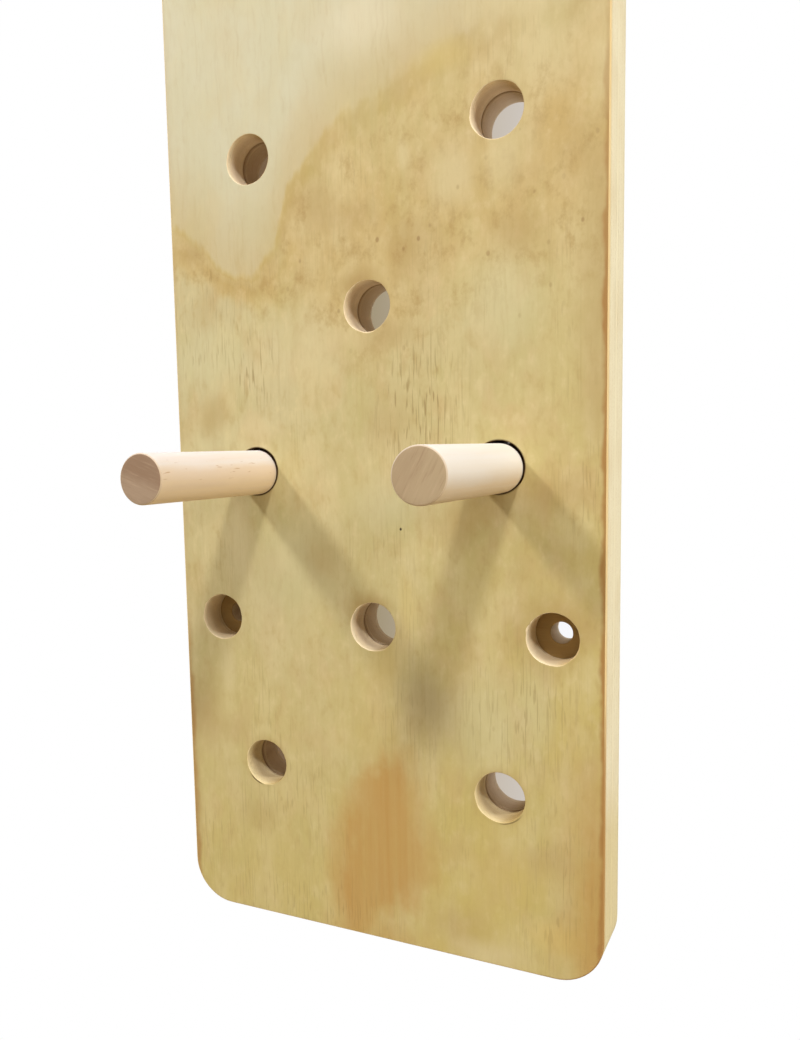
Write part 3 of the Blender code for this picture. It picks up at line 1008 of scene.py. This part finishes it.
def brown_arrises(tree, wood, tone):
    wave = mottle(tree, stretch(tree, wood.place, (1.0, 1.0, 0.5)), 90.0, detail=3.0)
    worn = calc(tree, "ADD", wood.exact_x, fade_linear(tree, wave, 0.3, 0.7, -ARRIS_WAVE, ARRIS_WAVE))
    right = times(tree, fade(tree, worn, *RIGHT_ARRIS), fade(tree, wood.exact_z, -0.12, -0.34, 0.30, 0.88))
    left = times(tree, fade(tree, worn, *LEFT_ARRIS), fade(tree, wood.exact_z, -0.50, -0.56, 0.1, 0.7))
    return blend(tree, calc(tree, "MAXIMUM", right, left), tone, ARRIS_BROWN)


print(f"stain drawn from z = {STAIN_LEFT[0][0]} to {STAIN_LEFT[-1][0]}")

# %% [markdown]
# ## Grain, flecks and specks
#
# Softwood cut this way shows fine upright grain, short dark flecks where resin channels come to the
# surface, and small round specks in the brown wood. Noise that is drawn out along Z gives the first two,
# and a few cells of a Voronoi texture the third. The flecks crowd in some places, which are ovals again.

# %% Small dark marks
GRAIN_BROWN, FLECK_BROWN, SPECK_BROWN = rgb(178, 150, 92), rgb(144, 116, 66), rgb(142, 106, 62)
# Where the flecks crowd: centre, radii and strength
FLECKED = (((0.035, -0.375), (0.045, 0.070), 1.0), ((0.100, -0.565), (0.060, 0.070), 0.55),
           ((-0.085, -0.345), (0.030, 0.040), 0.9), ((-0.060, -0.640), (0.050, 0.060), 0.45))


def fine_grain(tree, wood):
    return mottle(tree, stretch(tree, wood.moved, (420.0, 420.0, 9.0)), 1.0, detail=3.0, roughness=0.6)


def fleck_places(tree, wood, crowds):
    """How thick the flecks lie: a little everywhere, and more in the crowds."""
    where = mottle(tree, stretch(tree, wood.place, (1.0, 1.0, 0.7), (0.0, 0.0, 5.0)), 14.0)
    where = fade(tree, where, 0.44, 0.74, high=0.5)
    for centre, radii, strength in crowds:
        crowd = times(tree, patch(tree, wood.across, wood.upright, centre, radii, 0.9), strength)
        where = calc(tree, "MAXIMUM", where, crowd)
    return where


def flecks_of(tree, wood, where):
    short = mottle(tree, stretch(tree, wood.place, (620.0, 620.0, 70.0)), 1.0, detail=1.0)
    long = mottle(tree, stretch(tree, wood.place, (800.0, 800.0, 26.0), (2.0, 0.0, 0.0)), 1.0, detail=1.0)
    flecks = times(tree, fade(tree, calc(tree, "MAXIMUM", short, long), 0.58, 0.72), where)
    return times(tree, flecks, fade(tree, wood.share, -0.02, 0.15, 0.15, 1.0))


def specks_of(tree, wood, where):
    cells = put(tree, "TexVoronoi", {"Vector": stretch(tree, wood.place, (1.0, 1.0, 0.7)), "Scale": 110.0})
    chosen = fade(tree, put(tree, "SeparateColor", {0: cells.outputs["Color"]}).outputs[0], 0.55, 0.95)
    specks = times(tree, fade(tree, cells.outputs["Distance"], 0.17, 0.08), chosen)
    return times(tree, specks, calc(tree, "MAXIMUM", wood.in_band, times(tree, where, 0.5)))


print(f"flecks crowd in {len(FLECKED)} places")

# %% [markdown]
# ## Splits beside the lowest holes
#
# Where a drill comes down hard, the face ply splits along an arc just outside the hole. Such a split
# is the gap between two round patches of slightly different size, kept to one side of the hole by a third.

# %% Splits and a dark dot
CRACK_DARK, DOT_DARK = rgb(86, 60, 26), rgb(60, 44, 24)
CRACK_RADIUS, CRACK_WIDTH = HOLE_RADIUS + 0.0007, 0.0009
# The hole's centre, degrees round it, half length and strength
CRACKS = (((held_holes[0][0], rows[0]), 238.0, 0.0075, 0.9), ((held_holes[1][0], rows[0]), 296.0, 0.0110, 0.6))
DOT_CENTRE, DOT_RADII = (0.021, -0.4525), (0.0009, 0.0012)


def split_face(tree, wood, tone):
    def exact_patch(centre, radius, softness):
        return patch(tree, wood.exact_x, wood.exact_z, centre, (radius, radius), softness)

    for (x, z), degrees, reach, strength in CRACKS:
        turn = math.radians(degrees)
        midway = (x + CRACK_RADIUS * math.cos(turn), z + CRACK_RADIUS * math.sin(turn))
        ring = calc(tree, "SUBTRACT", exact_patch((x, z), CRACK_RADIUS + CRACK_WIDTH, 0.03),
                    exact_patch((x, z), CRACK_RADIUS, 0.03))
        part = times(tree, exact_patch(midway, reach, 0.7), strength)
        tone = blend(tree, times(tree, ring, part), tone, CRACK_DARK)
    return tone


def dark_dot(tree, wood, tone):
    return blend(tree, patch(tree, wood.exact_x, wood.exact_z, DOT_CENTRE, DOT_RADII, 0.4), tone, DOT_DARK)


print(f"{len(CRACKS)} splits, {1000 * CRACK_WIDTH:.1f} mm wide")

# %% [markdown]
# ## The layers together
#
# Both faces of the board are made of the same layers. The marks, stains and splits are those of the front,
# so the back goes without them. A little bump along the grain catches the light of the windows.

# %% The face finish
def figured_face(name, stained):
    material, tree, shader = new_material(name)
    wood = face_fields(tree)
    tone = uneven(tree, wood, tongue_tone(tree, wood))
    if stained:
        for layer in (board_marks_and_painted_shadows, soaked_foot, brown_arrises):
            tone = layer(tree, wood, tone)
    grain = fine_grain(tree, wood)
    where = fleck_places(tree, wood, FLECKED if stained else ())
    flecks = flecks_of(tree, wood, where)
    tone = blend(tree, fade(tree, grain, 0.45, 0.85, high=0.20), tone, GRAIN_BROWN)
    tone = blend(tree, times(tree, flecks, 0.60), tone, FLECK_BROWN)
    tone = blend(tree, times(tree, specks_of(tree, wood, where), 0.55), tone, SPECK_BROWN)
    if stained:
        tone = split_face(tree, wood, tone)
        # painted shade on the rims round the two pegs
        tone = painted_gap_shade_round_pegs(tree, tone, wood.exact_x, wood.exact_z, softness=0.05, strength=0.8)
        tone = dark_dot(tree, wood, tone)
    roughness = fade_linear(tree, grain, 0.2, 0.8, 0.50, 0.62)
    raised = calc(tree, "SUBTRACT", grain, flecks)
    dress(tree, shader, tone, roughness, 0.30, raised, strength=0.20, relief=0.0003)
    return material


front_figure = figured_face("front_face_pine", stained=True)
back_figure = figured_face("back_face_pine", stained=False)
print("face finishes:", front_figure.name, "and", back_figure.name)

# %% [markdown]
# ## The inner plies
#
# The CAD part has a face veneer, a core and an inner veneer in each sheet, and the core stands for five
# plies. Here every ply is its own piece. An inner ply is a plain flat shape with square edges. Its grain
# runs across that of its neighbours, which is what keeps plywood flat.

# %% Core plies
CORE_PLIES = 5
PLY_GAP = 0.00003                       # what shows of a glue line inside a sheet


def ply_sections(front, back, bolt_radius):
    """Outline and holes of an inner ply with square edges."""
    sections = [([outline_ring(0, front), outline_ring(0, back)], SAWN)]
    for centre in peg_holes:
        sections.append(([hole_ring(centre, HOLE_RADIUS, y) for y in (front, back)], DRILLED))
    for centre in bolt_holes:
        sections.append(([hole_ring(centre, bolt_radius, y) for y in (front, back)], FACE))
    return sections


def finish_ply(ply, node, sawn, drilled, face):
    for material in (sawn, drilled, face):
        ply.data.materials.append(material)
    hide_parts(node)
    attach(ply, "board")


def core_plies(sheet, node, bolt_radius):
    low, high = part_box(node)
    pitch = (high.y - low.y + PLY_GAP) / CORE_PLIES
    for index in range(CORE_PLIES):
        front = low.y + index * pitch
        sections = ply_sections(front, front + pitch - PLY_GAP, bolt_radius)
        ply = make_ply(f"{sheet}_core_ply_{index + 1}", sections, SAWN, SAWN)
        if index % 2:
            finish_ply(ply, node, upright_sawn, upright_drilled, sunk)
        else:
            finish_ply(ply, node, level_sawn, level_drilled, sunk)


print(f"{CORE_PLIES} plies to a core, {1000 * PLY_GAP:.2f} mm apart")

# %% [markdown]
# ## The face plies
#
# The two face plies are what a hand meets, so their arrises are rounded and the rims of their holes are
# eased and chipped. In front the bolt holes are as wide as the peg holes. At the back they are narrow
# and sharp.

# %% Face plies
def face_ply(name, node, y, inwards, far_y, bolt_radius, face):
    """A face ply, with an eased arris and eased, chipped rims on its outer face."""
    sections = [(eased_outline(y, inwards, ARRIS_EASE) + [outline_ring(0, far_y)], SAWN)]
    for centre in peg_holes:
        rings = eased_hole(centre, y, inwards, chipped_eases())
        sections.append((rings + [hole_ring(centre, HOLE_RADIUS, far_y)], DRILLED))
    for centre in bolt_holes:
        if bolt_radius == HOLE_RADIUS:
            rings = eased_hole(centre, y, inwards, chipped_eases())
        else:
            rings = [hole_ring(centre, bolt_radius, y)]
        sections.append((rings + [hole_ring(centre, bolt_radius, far_y)], DRILLED))
    if inwards < 0:
        sections = [(rings[::-1], slot) for rings, slot in sections]
    ply = make_ply(name, sections, FACE if inwards > 0 else SAWN, FACE if inwards < 0 else SAWN)
    finish_ply(ply, node, upright_sawn, upright_drilled, face)


print(f"arris rounded by {1000 * ARRIS_EASE:.1f} mm on the outer faces")

# %% [markdown]
# ## The plies at the joint
#
# The two sheets were sanded before they were glued, so their edges are eased where they meet and leave a
# fine groove round the board and in every hole. The bolt holes are 32 mm wide through the front sheet and
# 14 mm through the back one, and the counterbore goes a millimetre into the first ply of the back
# sheet, which makes the step that a washer sits on.

# %% Plies at the joint
def inner_ply(name, node, eased_front, bolt_section):
    """The ply at the joint of the two sheets, with its meeting edge eased."""
    low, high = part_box(node)
    joint, other = (low.y, high.y) if eased_front else (high.y, low.y)
    inwards = 1 if eased_front else -1
    even = [JOINT_EASE] * HOLE_STEPS
    sections = [(eased_outline(joint, inwards, JOINT_EASE) + [outline_ring(0, other)], SAWN)]
    for centre in peg_holes:
        rings = eased_hole(centre, joint, inwards, even)
        sections.append((rings + [hole_ring(centre, HOLE_RADIUS, other)], DRILLED))
    for centre in bolt_holes:
        sections.append((bolt_section(centre, joint, other), FACE))
    if not eased_front:
        sections = [(rings[::-1], slot) for rings, slot in sections]
    ply = make_ply(name, sections, SAWN, SAWN)
    finish_ply(ply, node, upright_sawn, upright_drilled, sunk)


def straight_bolt(centre, joint, other):
    return [hole_ring(centre, HOLE_RADIUS, joint), hole_ring(centre, HOLE_RADIUS, other)]


def stepped_bolt(centre, joint, other):
    return [hole_ring(centre, HOLE_RADIUS, joint), hole_ring(centre, HOLE_RADIUS, COUNTERBORE_FLOOR),
            hole_ring(centre, BOLT_RADIUS, COUNTERBORE_FLOOR), hole_ring(centre, BOLT_RADIUS, other)]


print(f"counterbores end {1000 * (COUNTERBORE_FLOOR - FACE_Y):.1f} mm behind the face")

# %% [markdown]
# ## The stack
#
# The plies go together from the front to the wall, as on a glue press. Each takes its place along Y from
# the CAD layer that it replaces, so the stack is as thick as the part.

# %% Stack the fourteen plies
low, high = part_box("front_face_veneer")
face_ply("front_face_ply", "front_face_veneer", low.y, 1, high.y, HOLE_RADIUS, front_figure)
core_plies("front", "front_core", HOLE_RADIUS)
inner_ply("front_inner_ply", "front_inner_veneer", False, straight_bolt)
inner_ply("back_inner_ply", "back_inner_veneer", True, stepped_bolt)
core_plies("back", "back_core", BOLT_RADIUS)
low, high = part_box("back_face_veneer")
face_ply("back_face_ply", "back_face_veneer", high.y, -1, low.y, BOLT_RADIUS, back_figure)

# %% [markdown]
# ## The pegs
#
# A peg is a length of plain round dowel, with the rim of each end eased by hand. It is a surface of
# revolution, so one profile is swept round the axis. The profile's size comes from the CAD peg's box.

# %% Turn a peg
PEG_STEPS = 84
PEG_RINGS = 48
PEG_RIM = 0.0011
RIM_STEPS = 5
SIDE_SLOT, END_SLOT = 0, 1
FREE_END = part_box("left_peg")[0].y - FACE_Y


def peg_profile(free_end, inner_end, radius):
    """(radius, y, slot of the strip after it) from the middle of the free end to the other end's."""
    profile = [(0.0, free_end, END_SLOT)]
    for share in (0.25, 0.5, 0.75):
        profile.append((share * (radius - PEG_RIM), free_end, END_SLOT))
    for step in range(RIM_STEPS + 1):
        angle = math.pi / 2 * step / RIM_STEPS
        profile.append((radius - PEG_RIM * (1 - math.sin(angle)), free_end + PEG_RIM * (1 - math.cos(angle)),
                        END_SLOT if step < 1 else SIDE_SLOT))
    start = free_end + PEG_RIM
    for ring in range(1, PEG_RINGS):
        profile.append((radius, start + (inner_end - PEG_RIM - start) * ring / PEG_RINGS, SIDE_SLOT))
    for step in range(RIM_STEPS + 1):
        angle = math.pi / 2 * step / RIM_STEPS
        profile.append((radius - PEG_RIM * (1 - math.cos(angle)), inner_end - PEG_RIM * (1 - math.sin(angle)),
                        SIDE_SLOT if step < RIM_STEPS else END_SLOT))
    profile.append((0.0, inner_end, END_SLOT))
    return profile


def turn_peg(name, node, side_wood, end_wood):
    """Sweep the profile round the axis, and let the peg ride on its own body."""
    low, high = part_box(node)
    profile = peg_profile(low.y - FACE_Y, high.y - FACE_Y, (high.x - low.x) / 2)
    bm = bmesh.new()
    rings = []
    for radius, y, _ in profile:
        steps = PEG_STEPS if radius > 0 else 1
        rings.append([bm.verts.new((radius * math.cos(2 * math.pi * i / steps), y,
                                    radius * math.sin(2 * math.pi * i / steps))) for i in range(steps)])
    for nearer, further, (_, _, slot) in zip(rings, rings[1:], profile):
        for i in range(PEG_STEPS):
            j = (i + 1) % PEG_STEPS
            corners = [nearer[i % len(nearer)], nearer[j % len(nearer)],
                       further[j % len(further)], further[i % len(further)]]
            face = bm.faces.new(list(dict.fromkeys(corners)))
            face.material_index = slot
    peg = closed_object(name, bm)
    peg.location = ((low.x + high.x) / 2, FACE_Y, (low.z + high.z) / 2)
    peg.data.materials.append(side_wood)
    peg.data.materials.append(end_wood)
    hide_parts(node)
    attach(peg, node)
    print(f"{name}: {len(peg.data.polygons)} faces, {1000 * (high.y - low.y):.1f} mm long")


print(f"a peg stands {-1000 * FREE_END:.1f} mm out of the board")

# %% [markdown]
# ## Wood for the pegs
#
# The pegs are a pale, close-grained hardwood, sanded smooth. Along the side hardly more than soft streaks
# show: the wood is paler above the axis and tan below it, with small dark pores along the border between.
# Where a peg goes into its hole, a dark ring is painted on it, as painted shade in the gap. Across the end
# the same wood soaks up dirt and is much darker, with the slanting scratches of the saw.

# %% Peg finishes
# the third colour is painted shade for the gap where a peg goes into its hole
PORE_BROWN, EASED_TAN, PAINTED_PEG_GAP_SHADE = rgb(172, 130, 84), rgb(206, 182, 150), rgb(84, 50, 16)
SCRATCH_PALE, SCRATCH_DARK = rgb(206, 180, 152), rgb(150, 120, 94)
RAMP_REACH = 0.016                      # heights over and under the axis that the colours are given for
GAP_SHADE_START, GAP_SHADE_END = (0.0001, 0.0005), (0.009, 0.004)   # depths between which the painted shade of the gap sets in and ends


def peg_side(name, stops, warm, border, pore_strength):
    """A dowel's side. The stops are (height over the axis, colour), the border where the pores are."""
    material, tree, shader = new_material(name)
    place = own_place(tree)
    moved = pushed_place(tree, stretch(tree, place, (1.0, 0.25, 1.0)), 60.0, 0.010)
    upright = axes(tree, moved)[2]
    along = axes(tree, place)[1]
    soft = mottle(tree, stretch(tree, place, (90.0, 5.0, 90.0)), 1.0, detail=3.0)
    fine = mottle(tree, stretch(tree, place, (700.0, 22.0, 700.0)), 1.0, detail=4.0, roughness=0.6)
    tone = ramp(tree, upright, -RAMP_REACH, RAMP_REACH, stops)
    tone = blend(tree, fade(tree, soft, 0.40, 0.75, high=0.45), tone, warm)
    tone = blend(tree, fade(tree, fine, 0.45, 0.85, high=0.40), tone, warm)
    from_border = calc(tree, "ABSOLUTE", calc(tree, "SUBTRACT", upright, border))
    pores = mottle(tree, stretch(tree, place, (700.0, 110.0, 700.0)), 1.0, detail=1.0)
    pores = times(tree, fade(tree, pores, 0.67, 0.76), fade(tree, from_border, 0.009, 0.001))
    tone = blend(tree, times(tree, pores, pore_strength), tone, PORE_BROWN)
    eased = fade(tree, along, FREE_END + PEG_RIM, FREE_END + 0.3 * PEG_RIM)
    tone = blend(tree, times(tree, eased, 0.7), tone, EASED_TAN)
    # painted shade on the peg just inside the rim of its hole
    gap_shaded = times(tree, fade(tree, along, *GAP_SHADE_START), fade(tree, along, *GAP_SHADE_END))
    tone = blend(tree, times(tree, gap_shaded, 0.95), tone, PAINTED_PEG_GAP_SHADE)
    dress(tree, shader, tone, 0.55, 0.12, raised=fine, strength=0.12, relief=0.0002)
    return material


def peg_end(name, lit, dull, slant):
    """End grain: two dull browns with a slanting border, and pale scratches along the slant."""
    material, tree, shader = new_material(name)
    place = own_place(tree)
    turned = put(tree, "Mapping", {"Vector": place, "Rotation": (0.0, slant, 0.0)}).outputs[0]
    moved = pushed_place(tree, turned, 90.0, 0.008)
    beside = axes(tree, moved)[0]
    tone = blend(tree, fade(tree, beside, -0.004, 0.003), lit, dull)
    scratches = mottle(tree, stretch(tree, turned, (750.0, 60.0, 60.0)), 1.0, detail=3.0, roughness=0.6)
    tone = blend(tree, fade(tree, scratches, 0.52, 0.80, high=0.40), tone, SCRATCH_PALE)
    tone = blend(tree, fade(tree, scratches, 0.46, 0.25, high=0.35), tone, SCRATCH_DARK)
    dress(tree, shader, tone, 0.8, 0.2, raised=scratches, strength=0.3, relief=0.0003)
    return material


# Colours by height over the axis: paler above, tan below
LEFT_STOPS = ((-0.015, rgb(236, 211, 173)), (-0.008, rgb(234, 211, 176)), (-0.001, rgb(222, 200, 168)),
              (0.004, rgb(218, 200, 178)), (0.008, rgb(224, 216, 210)), (0.015, rgb(228, 221, 222)))
RIGHT_STOPS = ((-0.015, rgb(216, 192, 156)), (-0.008, rgb(226, 204, 171)), (0.002, rgb(234, 229, 222)),
               (0.015, rgb(230, 225, 220)))
left_side = peg_side("left_peg_side", LEFT_STOPS, rgb(222, 202, 182), 0.0040, 0.6)
right_side = peg_side("right_peg_side", RIGHT_STOPS, rgb(232, 219, 200), -0.004, 0.0)
left_end = peg_end("left_peg_end", rgb(172, 148, 125), rgb(154, 127, 104), math.radians(70))
right_end = peg_end("right_peg_end", rgb(181, 158, 127), rgb(186, 164, 132), math.radians(-28))
turn_peg("left_turned_peg", "left_peg", left_side, left_end)
turn_peg("right_turned_peg", "right_peg", right_side, right_end)
